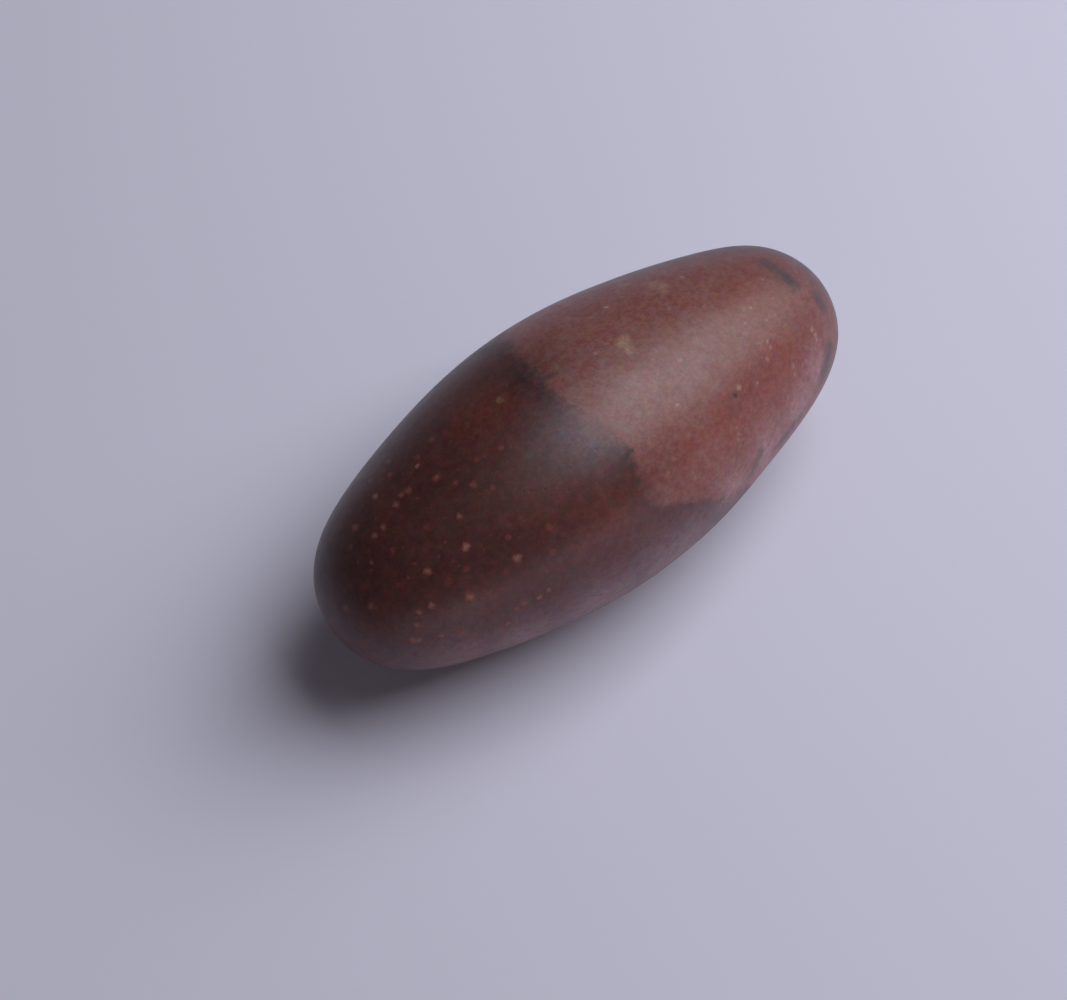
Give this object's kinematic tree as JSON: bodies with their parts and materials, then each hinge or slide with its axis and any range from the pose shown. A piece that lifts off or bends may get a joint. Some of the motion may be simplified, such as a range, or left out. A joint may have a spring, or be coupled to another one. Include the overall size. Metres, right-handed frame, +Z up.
{
  "type": "shiva lingam stone",
  "caption": "Egg-shaped river-worn lingam stone in satin maroon and brick red, lying on its side on a small worn flat.",
  "frame": {"origin": "middle of the stone's underside, at the height of the small flat it rests on", "axes": "+X along the stone towards its slimmer end, +Y across it, +Z up"},
  "size_m": [0.114, 0.053, 0.05],
  "materials": {
    "stone": "satin"
  },
  "bodies": {
    "root": {"lingam_stone": "stone"}
  },
  "joints": []
}
